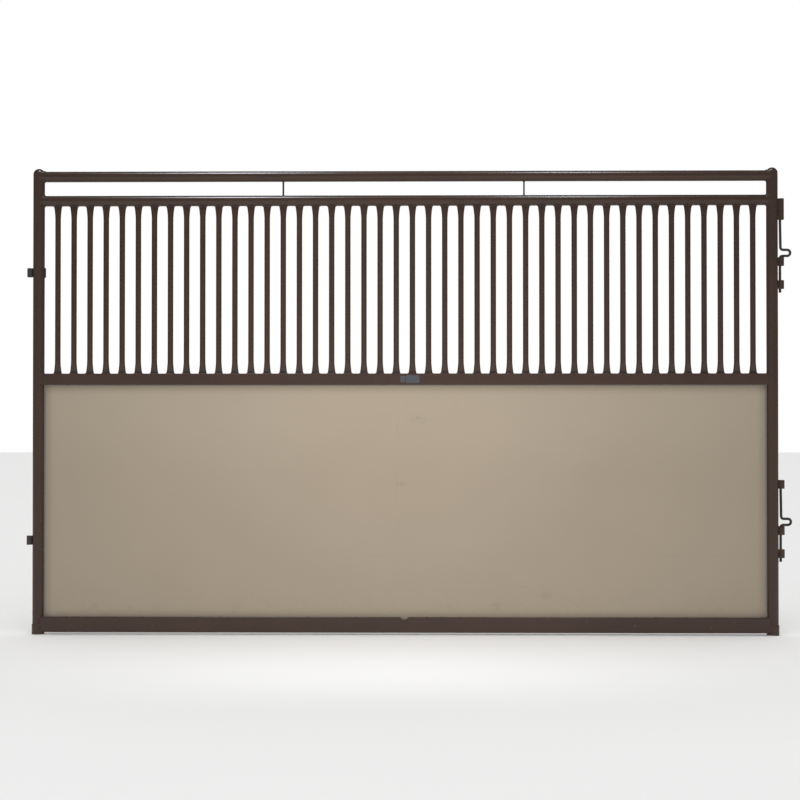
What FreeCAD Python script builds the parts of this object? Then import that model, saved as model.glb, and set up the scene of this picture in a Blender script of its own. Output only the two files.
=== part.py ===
import FreeCAD, Part
import Sketcher
import math
import os

# Livestock panel gate: two round posts, twin top rails, a barred grille over a solid sheet,
# drop-pin latches on the latch post (+X) and pin eyes on the hinge post (-X).
# Millimetres, +Z up, -Y is the front. The origin is on the floor, midway between the two
# posts and in the plane of their axes.

Vector = FreeCAD.Vector
doc = FreeCAD.newDocument("panel_gate")

SIZES = [
    # frame
    ("frame_width", 3640, "outside of one post to outside of the other"),
    ("frame_height", 2278, "floor to the crown of the post caps"),
    ("post_diameter", 56, ""),
    ("post_wall", 2.6, ""),
    ("weld_gap", 0.2, "root gap between pieces that are welded together"),
    ("fit_gap", 0.3, "clearance between pieces that are pushed or hung together"),
    ("cap_rise", 26, "height of the domed cap above the tube"),
    ("cap_wall", 2, ""),
    ("cap_spigot", 20, "depth of the cap's spigot in the tube"),
    ("foot_height", 48, ""),
    ("foot_wall", 2.7, ""),
    ("foot_floor", 5, "thickness under the post"),
    ("foot_rounding", 2, ""),
    # rails
    ("rail_diameter", 52, "the two round rails"),
    ("rail_wall", 2, ""),
    ("top_rail_drop", 40, "crown of the caps down to the top rail's axis"),
    ("rail_slot", 67, "clear slot between the two round rails"),
    ("spacer_width", 6.5, "seen from the front"),
    ("spacer_depth", 32, ""),
    ("hinge_spacer_offset", 592.5, "from the gate's middle"),
    ("latch_spacer_offset", 584.5, "from the gate's middle"),
    ("mid_rail_top", 1273, "height of the mid rail's top face"),
    ("mid_rail_height", 55, ""),
    ("bottom_rail_bottom", 11, "height of the bottom rail's underside"),
    ("bottom_rail_height", 75, ""),
    ("folded_rail_depth", 50, "front to back"),
    ("folded_wall", 2, ""),
    ("fold_radius", 3.5, "outer corner of the folded rails"),
    ("notch_width", 40, "thumb notch in the bottom rail's front lip"),
    ("notch_depth", 10, ""),
    # grille
    ("bar_count", 44, ""),
    ("bar_diameter", 27, ""),
    ("bar_wall", 1.6, ""),
    ("bar_end_offset", 93.5, "post axis to the nearest bar's axis"),
    ("crimp_thickness", 4.2, "flattened end of a bar"),
    ("crimp_length", 66, "from the flat end to the full round"),
    # infill
    ("sheet_thickness", 12, ""),
    ("sheet_top_lap", 14, "how far the sheet goes up into the mid rail"),
    ("channel_wall", 1.2, "edge channels"),
    ("side_channel_leg", 7, ""),
    ("top_channel_show", 5, "leg left in sight under the mid rail"),
    # latches
    ("sleeve_diameter", 30, ""),
    ("sleeve_wall", 3, ""),
    ("sleeve_height", 42, ""),
    ("sleeve_rounding", 2, ""),
    ("latch_gap", 70, "clear height between the two sleeves that trap an eye"),
    ("pin_lift", 138, "travel of a drop pin; its tip then clears the latch gap"),
    ("lift_clearance", 2.4, "left under the keeper when the pin is up"),
    ("upper_keeper_height", 104, ""),
    ("upper_latch_drop", 516, "crown of the caps down to the middle of the latch gap"),
    ("lower_latch_height", 452, "floor up to the middle of the latch gap"),
    ("pin_diameter", 12.7, ""),
    ("pin_clearance", 0.95, "between the hanging pin and its sleeves, on the post's side"),
    ("pin_bend_radius", 12.7, "inside bends, at the rod's axis"),
    ("pull_reach", 49.5, "pin axis to the far side of the pull, at the rod's axis"),
    ("pull_pitch", 29.6, "between the pull's two arms, axis to axis"),
    ("shank_lean", 2.5, "how far the shank stands out at the pull"),
    ("keeper_grip", 30, "length of shank in the keeper at rest"),
    ("tip_reach", 19, "pin's tip below the bottom sleeve"),
    ("tip_chamfer", 2, ""),
    # hinge eyes
    ("strap_thickness", 6, ""),
    ("strap_height", 44, ""),
    ("eye_bore", 17, ""),
    ("eye_rise", 6, "eye above the middle of the latch gap"),
    ("eye_opening", 50, "degrees of the curl left open at the back"),
    ("upper_strap_end", -12, "degrees; below nought the strap passes the post's inner side"),
    ("lower_strap_end", 24, "degrees; it stops short of the sheet's edge channel"),
    # blank plates on the mid rail
    ("label_length", 66, ""),
    ("label_height", 38, ""),
    ("tag_length", 24, ""),
    ("tag_height", 32, ""),
    ("plate_thickness", 0.8, ""),
    ("plate_rounding", 5, ""),
    ("label_centre", 41, "from the gate's middle"),
    ("tag_centre", -7, "from the gate's middle"),
    ("plate_gap", 0.1, "adhesive behind the plates"),
]

sheet = doc.addObject("Spreadsheet::Sheet", "Dims")
for row, (name, number, note) in enumerate(SIZES, 1):
    sheet.set("A%d" % row, name)
    sheet.set("B%d" % row, str(number))
    sheet.set("C%d" % row, note)
    sheet.setAlias("B%d" % row, name)
doc.recompute()


def value(expression):
    return float(sheet.evalExpression(str(expression)))


# Places worked out from the driving sizes.
POST_X = "(Dims.frame_width - Dims.post_diameter) / 2"
POST_RADIUS = "Dims.post_diameter / 2"
POST_TOP = "(Dims.frame_height - Dims.cap_rise)"
SADDLE = "(Dims.post_diameter + 2 * Dims.weld_gap)"
TOP_RAIL_Z = "(Dims.frame_height - Dims.top_rail_drop)"
GRILLE_RAIL_Z = "(%s - Dims.rail_diameter - Dims.rail_slot)" % TOP_RAIL_Z
MID_RAIL_BOTTOM = "(Dims.mid_rail_top - Dims.mid_rail_height)"
BOTTOM_RAIL_TOP = "(Dims.bottom_rail_bottom + Dims.bottom_rail_height)"
BAR_BOTTOM = "(Dims.mid_rail_top + Dims.weld_gap)"
BAR_TOP = "(%s - Dims.rail_diameter / 2 - Dims.weld_gap)" % GRILLE_RAIL_Z
SHEET_BOTTOM = "(Dims.bottom_rail_bottom + Dims.folded_wall + Dims.fit_gap)"
SHEET_TOP = "(%s + Dims.sheet_top_lap)" % MID_RAIL_BOTTOM
CHANNEL_WIDTH = "(Dims.sheet_thickness + 2 * Dims.fit_gap + 2 * Dims.channel_wall)"
SIDE_CHANNEL_X = "(%s - %s - Dims.weld_gap)" % (POST_X, POST_RADIUS)
SHEET_HALF = "(%s - Dims.channel_wall - Dims.fit_gap)" % SIDE_CHANNEL_X
SLEEVE_X = "(Dims.frame_width / 2 + Dims.weld_gap + Dims.sleeve_diameter / 2)"
PIN_X = ("(%s - Dims.sleeve_diameter / 2 + Dims.sleeve_wall + Dims.pin_clearance"
         " + Dims.pin_diameter / 2)" % SLEEVE_X)
KEEPER_RISE = ("(Dims.pin_lift + Dims.lift_clearance + Dims.pull_pitch + Dims.pin_diameter"
               " + Dims.fit_gap)")
UPPER_LATCH_Z = "(Dims.frame_height - Dims.upper_latch_drop)"
LOWER_LATCH_Z = "Dims.lower_latch_height"


# Document helpers.
def new_body(name, x="0", y="0", z="0"):
    body = doc.addObject("PartDesign::Body", name)
    body.Label = name
    for axis, expression in zip("xyz", (x, y, z)):
        if expression != "0":
            body.setExpression("Placement.Base." + axis, expression)
    return body


def new_sketch(body, name, role, offset="0"):
    sketch = body.newObject("Sketcher::SketchObject", name)
    origin_plane = next(f for f in body.Origin.OriginFeatures if f.Role == role)
    sketch.AttachmentSupport = [(origin_plane, "")]
    sketch.MapMode = "FlatFace"
    if offset != "0":
        sketch.setExpression("AttachmentOffset.Base.z", offset)
    return sketch


def bind(sketch, kind, *where):
    # The last argument is the expression that drives the constraint.
    places, expression = where[:-1], where[-1]
    number = sketch.addConstraint(Sketcher.Constraint(kind, *places, value(expression)))
    sketch.setExpression("Constraints[%d]" % number, expression)


def pin_point(sketch, index, point, x, y):
    bind(sketch, "DistanceX", -1, 1, index, point, x)
    bind(sketch, "DistanceY", -1, 1, index, point, y)


def draw_circle(sketch, diameter, x="0", y="0"):
    centre = Vector(value(x), value(y), 0)
    index = sketch.addGeometry(Part.Circle(centre, Vector(0, 0, 1), value(diameter) / 2), False)
    bind(sketch, "Diameter", index, diameter)
    pin_point(sketch, index, 3, x, y)


def draw_outline(sketch, points):
    # A closed outline of straight lines; every corner is driven by two expressions.
    places = [Vector(value(x), value(y), 0) for x, y in points]
    first = None
    for index, (start, end) in enumerate(zip(places, places[1:] + places[:1])):
        line = sketch.addGeometry(Part.LineSegment(start, end), False)
        first = line if first is None else first
        if index:
            sketch.addConstraint(Sketcher.Constraint("Coincident", line - 1, 2, line, 1))
        pin_point(sketch, line, 1, *points[index])
    sketch.addConstraint(Sketcher.Constraint("Coincident", line, 2, first, 1))


def draw_box(sketch, x0, x1, y0, y1):
    draw_outline(sketch, [(x0, y0), (x1, y0), (x1, y1), (x0, y1)])


def pad(body, sketch, length, symmetric=False, back=False):
    feature = body.newObject("PartDesign::Pad", sketch.Name + "_pad")
    feature.Profile = sketch
    feature.setExpression("Length", length)
    feature.SideType = "Symmetric" if symmetric else "One side"
    feature.Reversed = back
    sketch.Visibility = False
    doc.recompute()
    return feature


def cut(body, sketch, length=None, symmetric=True, back=False):
    before = body.Shape.Volume
    feature = body.newObject("PartDesign::Pocket", sketch.Name + "_cut")
    feature.Profile = sketch
    if length is None:
        feature.Type = "ThroughAll"
    else:
        feature.setExpression("Length", length)
    feature.SideType = "Symmetric" if symmetric else "One side"
    feature.Reversed = back
    doc.recompute()
    if not body.Shape.Volume < before - 0.01:
        raise RuntimeError(feature.Name + " cuts nothing")
    return feature


def round_edges(body, base, radius, wanted, kind="Fillet"):
    names = ["Edge%d" % (i + 1) for i, edge in enumerate(base.Shape.Edges) if wanted(edge)]
    feature = body.newObject("PartDesign::" + kind, base.Name + "_" + kind.lower())
    feature.Base = (base, names)
    feature.setExpression("Radius" if kind == "Fillet" else "Size", radius)
    doc.recompute()
    return feature


def is_circle(edge, radius):
    curve = edge.Curve
    return isinstance(curve, Part.Circle) and abs(curve.Radius - radius) < 1e-4


# Posts, their caps and their feet.
def make_post(name, x):
    body = new_body(name, x=x, z="Dims.foot_floor")
    section = new_sketch(body, name + "_section", "XY_Plane")
    draw_circle(section, "Dims.post_diameter")
    draw_circle(section, "Dims.post_diameter - 2 * Dims.post_wall")
    pad(body, section, "%s - Dims.foot_floor" % POST_TOP)


def make_cap(name, x):
    # A spherical shell over a rim as wide as the post, with a spigot that drops into the tube.
    body = new_body(name, x=x, z="%s + Dims.weld_gap" % POST_TOP)
    rise = value("Dims.cap_rise - Dims.weld_gap")
    radius = value(POST_RADIUS)
    wall = value("Dims.cap_wall")
    spigot = value(POST_RADIUS + " - Dims.post_wall - Dims.fit_gap")
    depth = value("Dims.cap_spigot")
    outer = (radius ** 2 + rise ** 2) / (2 * rise)
    centre = rise - outer
    inner = outer - wall
    well = spigot - wall
    well_z = centre + math.sqrt(inner ** 2 - well ** 2)
    section = new_sketch(body, name + "_section", "XZ_Plane")
    add = section.addGeometry
    crown = math.pi / 2
    rim_angle = math.asin(-centre / outer)
    well_angle = math.asin((well_z - centre) / inner)
    axis_z = Vector(0, 0, 1)
    middle = Vector(0, centre, 0)
    add(Part.ArcOfCircle(Part.Circle(middle, axis_z, outer), rim_angle, crown), False)
    add(Part.LineSegment(Vector(0, rise, 0), Vector(0, rise - wall, 0)), False)
    add(Part.ArcOfCircle(Part.Circle(middle, axis_z, inner), well_angle, crown), False)
    add(Part.LineSegment(Vector(well, well_z, 0), Vector(well, -depth, 0)), False)
    add(Part.LineSegment(Vector(well, -depth, 0), Vector(spigot, -depth, 0)), False)
    add(Part.LineSegment(Vector(spigot, -depth, 0), Vector(spigot, 0, 0)), False)
    add(Part.LineSegment(Vector(spigot, 0, 0), Vector(radius, 0, 0)), False)
    for one, end, two, start in ((0, 2, 1, 1), (1, 2, 2, 2), (2, 1, 3, 1), (3, 2, 4, 1),
                                 (4, 2, 5, 1), (5, 2, 6, 1), (6, 2, 0, 1)):
        section.addConstraint(Sketcher.Constraint("Coincident", one, end, two, start))
    section.addConstraint(Sketcher.Constraint("Coincident", 0, 3, 2, 3))
    section.addConstraint(Sketcher.Constraint("PointOnObject", 0, 3, -2))
    section.addConstraint(Sketcher.Constraint("PointOnObject", 0, 2, -2))
    section.addConstraint(Sketcher.Constraint("PointOnObject", 1, 2, -2))
    bind(section, "DistanceY", -1, 1, 0, 2, "Dims.cap_rise - Dims.weld_gap")
    bind(section, "DistanceY", 1, 2, 1, 1, "Dims.cap_wall")
    pin_point(section, 6, 2, POST_RADIUS, "0")
    pin_point(section, 5, 2, POST_RADIUS + " - Dims.post_wall - Dims.fit_gap", "0")
    pin_point(section, 4, 2, POST_RADIUS + " - Dims.post_wall - Dims.fit_gap", "-Dims.cap_spigot")
    section.addConstraint(Sketcher.Constraint("Horizontal", 4))
    section.addConstraint(Sketcher.Constraint("Vertical", 3))
    bind(section, "DistanceX", 4, 1, 4, 2, "Dims.cap_wall")
    turned = body.newObject("PartDesign::Revolution", name + "_turned")
    turned.Profile = section
    turned.ReferenceAxis = (section, ["V_Axis"])
    turned.Angle = 360
    doc.recompute()


def make_foot(name, x, inward):
    # A cup round the post's end, slotted on its inner side where the bottom rail comes in.
    body = new_body(name, x=x)
    bore = "(Dims.post_diameter + 2 * Dims.fit_gap)"
    rim = "(%s + 2 * Dims.foot_wall)" % bore
    outside = new_sketch(body, name + "_outside", "XY_Plane")
    draw_circle(outside, rim)
    block = pad(body, outside, "Dims.foot_height")
    radius = value(rim) / 2
    block = round_edges(body, block, "Dims.foot_rounding", lambda edge: is_circle(edge, radius))
    socket = new_sketch(body, name + "_socket", "XY_Plane", "Dims.foot_floor")
    draw_circle(socket, bore)
    cut(body, socket, symmetric=False, back=True)
    half_slot = "(Dims.folded_rail_depth / 2 + Dims.fit_gap)"
    slot = new_sketch(body, name + "_slot", "XY_Plane",
                      "Dims.bottom_rail_bottom - Dims.fit_gap")
    far = "%d * Dims.post_diameter" % inward
    draw_box(slot, "0", far, "-" + half_slot, half_slot)
    cut(body, slot, symmetric=False, back=True)


# Rails.
def cope_ends(body, name, post_span):
    # Both ends are cut to the round of the posts.
    saddles = new_sketch(body, name + "_saddles", "XY_Plane")
    draw_circle(saddles, SADDLE, x="-(%s)" % post_span)
    draw_circle(saddles, SADDLE, x=post_span)
    cut(body, saddles)


def make_round_rail(name, z):
    body = new_body(name, z=z)
    section = new_sketch(body, name + "_section", "YZ_Plane")
    draw_circle(section, "Dims.rail_diameter")
    draw_circle(section, "Dims.rail_diameter - 2 * Dims.rail_wall")
    pad(body, section, "2 * (%s)" % POST_X, symmetric=True)
    cope_ends(body, name, POST_X)


def make_spacer(name, x):
    # A thin flat on edge between the two round rails, its ends cut to their curve.
    middle = "(%s + %s) / 2" % (TOP_RAIL_Z, GRILLE_RAIL_Z)
    body = new_body(name, x=x, z=middle)
    section = new_sketch(body, name + "_section", "XY_Plane")
    draw_box(section, "-Dims.spacer_width / 2", "Dims.spacer_width / 2",
             "-Dims.spacer_depth / 2", "Dims.spacer_depth / 2")
    pad(body, section, "Dims.rail_slot + Dims.rail_diameter", symmetric=True)
    reach = "(Dims.rail_slot + Dims.rail_diameter) / 2"
    saddles = new_sketch(body, name + "_saddles", "YZ_Plane")
    draw_circle(saddles, "Dims.rail_diameter + 2 * Dims.weld_gap", y=reach)
    draw_circle(saddles, "Dims.rail_diameter + 2 * Dims.weld_gap", y="-" + reach)
    cut(body, saddles)


def make_folded_rail(name, z, height, slot, opens_up):
    # Web, two flanges and two lips; the sheet stands in the slot between the lips.
    body = new_body(name, z=z)
    section = new_sketch(body, name + "_section", "YZ_Plane")
    out = "Dims.folded_rail_depth / 2"
    wall = "Dims.folded_wall"
    lip = slot + " / 2"
    web, web_in, lip_in, mouth = "0", wall, "%s - %s" % (height, wall), height
    if not opens_up:
        web, web_in, lip_in, mouth = height, lip_in, wall, "0"
    inner = "%s - %s" % (out, wall)
    draw_outline(section, [
        ("-" + out, web), (out, web), (out, mouth), (lip, mouth), (lip, lip_in),
        (inner, lip_in), (inner, web_in), ("-(%s)" % inner, web_in),
        ("-(%s)" % inner, lip_in), ("-" + lip, lip_in), ("-" + lip, mouth), ("-" + out, mouth)])
    bar = pad(body, section, "2 * (%s)" % POST_X, symmetric=True)
    half, length = value(out), value("2 * (%s)" % POST_X)

    def outer_corner(edge):
        return edge.Length > length - 1 and abs(abs(edge.CenterOfMass.y) - half) < 1e-4

    round_edges(body, bar, "Dims.fold_radius", outer_corner)
    cope_ends(body, name, POST_X)
    return body


def make_bottom_rail():
    body = make_folded_rail("bottom_rail", "Dims.bottom_rail_bottom", "Dims.bottom_rail_height",
                            "(Dims.sheet_thickness + 4 * Dims.fit_gap)", True)
    # Shallow arc through the front flange and its lip, in front of the sheet only.
    notch = new_sketch(body, "bottom_rail_notch", "XZ_Plane", "Dims.sheet_thickness / 2")
    radius = "((Dims.notch_width / 2) ^ 2 + Dims.notch_depth ^ 2) / (2 * Dims.notch_depth)"
    draw_circle(notch, "2 * (%s)" % radius,
                y="Dims.bottom_rail_height - Dims.notch_depth + %s" % radius)
    cut(body, notch, "Dims.folded_rail_depth", symmetric=False, back=True)


# Grille bars: round tube, squeezed flat at both ends until the two walls meet.
# Share of the crimp's length from the flat end, and the share of the widening left there.
CRIMP_SHAPE = ((0.0, 1.0), (0.27, 0.55), (0.6, 0.19), (1.0, 0.0))


def crimp_sections(inset):
    # Widths fall off quickly from the flat end; the wall's girth stays the same throughout.
    round_width = value("Dims.bar_diameter")
    flat = value("Dims.crimp_thickness")
    girth = math.pi * round_width
    flat_width = (girth - math.pi * flat) / 2 + flat
    reach = value("Dims.crimp_length")
    wires = []
    for share, fall in CRIMP_SHAPE:
        width = round_width + (flat_width - round_width) * fall
        thickness = (girth - 2 * width) / (math.pi - 2)
        wires.append((share * reach, width - 2 * inset, thickness - 2 * inset))
    return wires


def flat_oval(width, thickness, z):
    # Four arcs: two ends and two broad sides that flatten as the tube is squeezed.
    end = thickness / 2
    side = width / 2 - end
    slant = end * math.sqrt(0.5)
    corners = [Vector(side + slant, -slant, z), Vector(side + slant, slant, z),
               Vector(-side - slant, slant, z), Vector(-side - slant, -slant, z)]
    tips = [Vector(side + end, 0, z), Vector(0, end, z),
            Vector(-side - end, 0, z), Vector(0, -end, z)]
    edges = []
    for index in range(4):
        edges.append(Part.Arc(corners[index], tips[index], corners[(index + 1) % 4]).toShape())
    return Part.Wire(edges)


def crimped_tube(length, inset):
    sections = crimp_sections(inset)
    low = Part.makeLoft([flat_oval(w, t, z) for z, w, t in sections], True, False)
    high = Part.makeLoft([flat_oval(w, t, length - z) for z, w, t in reversed(sections)], True, False)
    reach = value("Dims.crimp_length")
    middle = Part.makeCylinder(sections[-1][1] / 2, length - 2 * reach, Vector(0, 0, reach))
    return low.fuse([middle, high])


def make_grille_bars():
    length = value("%s - %s" % (BAR_TOP, BAR_BOTTOM))
    bar = crimped_tube(length, 0).cut(crimped_tube(length, value("Dims.bar_wall")))
    count = int(value("Dims.bar_count"))
    first = -value(POST_X) + value("Dims.bar_end_offset")
    pitch = -2 * first / (count - 1)
    bottom = value(BAR_BOTTOM)
    for index in range(0, count, 2):
        pair = [bar.translated(Vector(pitch * k, 0, 0)) for k in range(min(2, count - index))]
        name = "grille_bars_%02d_%02d" % (index + 1, index + len(pair))
        feature = doc.addObject("Part::Feature", name)
        feature.Label = name
        feature.Shape = Part.makeCompound(pair)
        feature.Placement = FreeCAD.Placement(
            Vector(first + pitch * index, 0, bottom), FreeCAD.Rotation())


# Infill sheet and the light channels on its edges.
def make_infill():
    body = new_body("infill_sheet", z=SHEET_BOTTOM)
    face = new_sketch(body, "infill_sheet_face", "XZ_Plane")
    draw_box(face, "-" + SHEET_HALF, SHEET_HALF, "0", "%s - %s" % (SHEET_TOP, SHEET_BOTTOM))
    pad(body, face, "Dims.sheet_thickness", symmetric=True)


def draw_channel(sketch, leg, flip):
    # A U whose web lies on the local X axis origin and whose legs run along +X, or -X if flipped.
    sign = "-" if flip else ""
    half = CHANNEL_WIDTH + " / 2"
    inner = "%s - Dims.channel_wall" % half
    web = sign + "Dims.channel_wall"
    tip = sign + leg
    draw_outline(sketch, [("0", "-" + half), (tip, "-" + half), (tip, "-(%s)" % inner),
                          (web, "-(%s)" % inner), (web, inner), (tip, inner), (tip, half), ("0", half)])


def make_side_channel(name, side):
    low = "(%s + Dims.fit_gap)" % BOTTOM_RAIL_TOP
    high = "(%s - Dims.top_channel_show - Dims.fit_gap)" % MID_RAIL_BOTTOM
    body = new_body(name, x="%d * %s" % (side, SIDE_CHANNEL_X), z=low)
    section = new_sketch(body, name + "_section", "XY_Plane")
    draw_channel(section, "Dims.side_channel_leg", side > 0)
    pad(body, section, "%s - %s" % (high, low))


def make_top_channel():
    # Caps the sheet's top edge inside the mid rail; its legs hang a little below the rail.
    top = "(%s + Dims.fit_gap + Dims.channel_wall)" % SHEET_TOP
    drop = "(%s - %s + Dims.top_channel_show)" % (top, MID_RAIL_BOTTOM)
    body = new_body("top_edge_channel", z=top)
    section = new_sketch(body, "top_edge_channel_section", "YZ_Plane")
    half = CHANNEL_WIDTH + " / 2"
    inner = "%s - Dims.channel_wall" % half
    web = "-Dims.channel_wall"
    draw_outline(section, [("-" + half, "0"), ("-" + half, "-" + drop), ("-(%s)" % inner, "-" + drop),
                           ("-(%s)" % inner, web), (inner, web), (inner, "-" + drop),
                           (half, "-" + drop), (half, "0")])
    pad(body, section, "2 * " + SIDE_CHANNEL_X, symmetric=True)


# Latches: tube sleeves welded to the latch post, and the bent pins that hang in them.
def make_sleeve(name, z, height):
    body = new_body(name, x=SLEEVE_X, z=z)
    section = new_sketch(body, name + "_section", "XY_Plane")
    draw_circle(section, "Dims.sleeve_diameter")
    draw_circle(section, "Dims.sleeve_diameter - 2 * Dims.sleeve_wall")
    tube = pad(body, section, height)
    radius = value("Dims.sleeve_diameter") / 2
    round_edges(body, tube, "Dims.sleeve_rounding", lambda edge: is_circle(edge, radius))


def make_drop_pin(name, latch_z):
    # The local origin is on the pin's axis, level with the upper end of the top sleeve.
    body = new_body(name, x=PIN_X, z="%s + Dims.latch_gap / 2 + Dims.sleeve_height" % latch_z)
    lower_arm = "(Dims.pin_diameter / 2 + Dims.fit_gap)"
    upper_arm = "(%s + Dims.pull_pitch)" % lower_arm
    tip = "(2 * Dims.sleeve_height + Dims.latch_gap + Dims.tip_reach)"
    head = "(%s + Dims.keeper_grip)" % KEEPER_RISE
    radius = value("Dims.pin_bend_radius")
    lean = value("Dims.shank_lean")
    low, high = value(lower_arm), value(upper_arm)
    half_pull = value("Dims.pull_pitch / 2")
    turn_x = value("Dims.pull_reach") - half_pull
    top = value(head)
    # The shank leans: it ends on the pin's axis and meets its bend at the lean's distance.
    slope = math.atan2(lean, top - high - radius)
    route = new_sketch(body, name + "_route", "XZ_Plane")
    up = Vector(0, 0, 1)
    bend = Part.Circle(Vector(lean + radius, high + radius, 0), up, radius)
    pull = Part.Circle(Vector(turn_x, low + half_pull, 0), up, half_pull)
    drop = Part.Circle(Vector(radius, low - radius, 0), up, radius)
    quarter = math.pi / 2
    add = route.addGeometry
    add(Part.LineSegment(Vector(0, -value(tip), 0), Vector(0, low - radius, 0)), False)
    add(Part.ArcOfCircle(drop, quarter, 2 * quarter), False)
    add(Part.LineSegment(Vector(radius, low, 0), Vector(turn_x, low, 0)), False)
    add(Part.ArcOfCircle(pull, -quarter, quarter), False)
    add(Part.LineSegment(Vector(turn_x, high, 0), Vector(lean + radius, high, 0)), False)
    add(Part.ArcOfCircle(bend, 2 * quarter + slope, 3 * quarter), False)
    add(Part.LineSegment(Vector(lean, high + radius, 0), Vector(0, top, 0)), False)
    for one, end, two, start in ((0, 2, 1, 2), (1, 1, 2, 1), (2, 2, 3, 1),
                                 (3, 2, 4, 1), (4, 2, 5, 2), (5, 1, 6, 1)):
        route.addConstraint(Sketcher.Constraint("Tangent", one, end, two, start))
    pin_point(route, 0, 1, "0", "-" + tip)
    route.addConstraint(Sketcher.Constraint("Vertical", 0))
    route.addConstraint(Sketcher.Constraint("Horizontal", 2))
    route.addConstraint(Sketcher.Constraint("Horizontal", 4))
    bind(route, "Radius", 1, "Dims.pin_bend_radius")
    bind(route, "Radius", 5, "Dims.pin_bend_radius")
    pin_point(route, 3, 1, "Dims.pull_reach - Dims.pull_pitch / 2", lower_arm)
    bind(route, "Radius", 3, "Dims.pull_pitch / 2")
    bind(route, "DistanceX", -1, 1, 5, 3, "Dims.shank_lean + Dims.pin_bend_radius")
    pin_point(route, 6, 2, "0", head)
    section = new_sketch(body, name + "_section", "XY_Plane", "-" + tip)
    draw_circle(section, "Dims.pin_diameter")
    doc.recompute()
    rod = body.newObject("PartDesign::AdditivePipe", name + "_rod")
    rod.Profile = section
    rod.Spine = (route, ["Edge%d" % (i + 1) for i in range(7)])
    doc.recompute()
    round_edges(body, rod, "Dims.tip_chamfer", lambda edge: is_circle(
        edge, value("Dims.pin_diameter") / 2) and is_rod_end(edge, top, value(tip)), "Chamfer")


def is_rod_end(edge, top, tip):
    z = edge.CenterOfMass.z
    return abs(z - top) < 0.5 or abs(z + tip) < 1e-3


def make_latch(level, latch_z, keeper_height):
    top_sleeve = "%s + Dims.latch_gap / 2" % latch_z
    make_sleeve(level + "_bottom_sleeve",
                "%s - Dims.latch_gap / 2 - Dims.sleeve_height" % latch_z, "Dims.sleeve_height")
    make_sleeve(level + "_top_sleeve", top_sleeve, "Dims.sleeve_height")
    make_sleeve(level + "_keeper_sleeve",
                "%s + Dims.sleeve_height + %s" % (top_sleeve, KEEPER_RISE), keeper_height)
    make_drop_pin(level + "_drop_pin", latch_z)


# Hinge eyes: a strap round the back of the hinge post, curled into an eye outside it.
def make_hinge_eye(name, latch_z, strap_end):
    body = new_body(name, x="-(%s)" % POST_X,
                    z="%s + Dims.eye_rise - Dims.strap_height / 2" % latch_z)
    inner = "(%s + Dims.weld_gap)" % POST_RADIUS
    outer = "(%s + Dims.strap_thickness)" % inner
    eye_out = "(Dims.eye_bore / 2 + Dims.strap_thickness)"
    eye_x = "(%s + %s)" % (inner, eye_out)
    wrap_in, wrap_out, curl_out, centre = (value(e) for e in (inner, outer, eye_out, eye_x))
    curl_in = value("Dims.eye_bore") / 2
    start = math.radians(value(strap_end))
    curl = math.radians(value("Dims.eye_opening"))
    section = new_sketch(body, name + "_section", "XY_Plane")
    up, post, eye = Vector(0, 0, 1), Vector(0, 0, 0), Vector(-centre, 0, 0)
    add = section.addGeometry
    wrap_inside = add(Part.ArcOfCircle(Part.Circle(post, up, wrap_in), start, math.pi), False)
    curl_outside = add(Part.ArcOfCircle(Part.Circle(eye, up, curl_out), curl, 2 * math.pi), False)
    curl_end = add(Part.LineSegment(polar(eye, curl_out, curl), polar(eye, curl_in, curl)), False)
    curl_inside = add(Part.ArcOfCircle(Part.Circle(eye, up, curl_in), curl, 2 * math.pi), False)
    wrap_outside = add(Part.ArcOfCircle(Part.Circle(post, up, wrap_out), start, math.pi), False)
    wrap_end = add(Part.LineSegment(polar(post, wrap_out, start), polar(post, wrap_in, start)), False)
    for one, end, two, begin in ((wrap_inside, 2, curl_outside, 2), (curl_outside, 1, curl_end, 1),
                                 (curl_end, 2, curl_inside, 1), (curl_inside, 2, wrap_outside, 2),
                                 (wrap_outside, 1, wrap_end, 1), (wrap_end, 2, wrap_inside, 1),
                                 (wrap_inside, 3, -1, 1), (wrap_outside, 3, -1, 1),
                                 (curl_inside, 3, curl_outside, 3)):
        section.addConstraint(Sketcher.Constraint("Coincident", one, end, two, begin))
    section.addConstraint(Sketcher.Constraint("PointOnObject", wrap_inside, 2, -1))
    section.addConstraint(Sketcher.Constraint("PointOnObject", wrap_outside, 2, -1))
    pin_point(section, curl_outside, 3, "-" + eye_x, "0")
    bind(section, "Radius", wrap_inside, inner)
    bind(section, "Radius", wrap_outside, outer)
    for arc, point, radius, angle in (
            (wrap_inside, 1, inner, strap_end),
            (wrap_outside, 1, outer, strap_end),
            (curl_outside, 1, eye_out, "Dims.eye_opening"),
            (curl_inside, 1, "Dims.eye_bore / 2", "Dims.eye_opening")):
        bind(section, "DistanceY", -1, 1, arc, point, "%s * sin(%s * 1 deg)" % (radius, angle))
    pad(body, section, "Dims.strap_height")


def polar(centre, radius, angle):
    return centre + Vector(radius * math.cos(angle), radius * math.sin(angle), 0)


# Thin blank plates on the mid rail's front face.
def make_plate(name, x, length, height):
    body = new_body(name, x=x, y="-Dims.folded_rail_depth / 2 - Dims.plate_gap",
                    z="%s + Dims.mid_rail_height / 2" % MID_RAIL_BOTTOM)
    face = new_sketch(body, name + "_face", "XZ_Plane")
    draw_box(face, "-%s / 2" % length, "%s / 2" % length, "-%s / 2" % height, "%s / 2" % height)
    plate = pad(body, face, "Dims.plate_thickness")
    thickness = value("Dims.plate_thickness")
    round_edges(body, plate, "Dims.plate_rounding", lambda edge: abs(edge.Length - thickness) < 1e-4)


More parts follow.
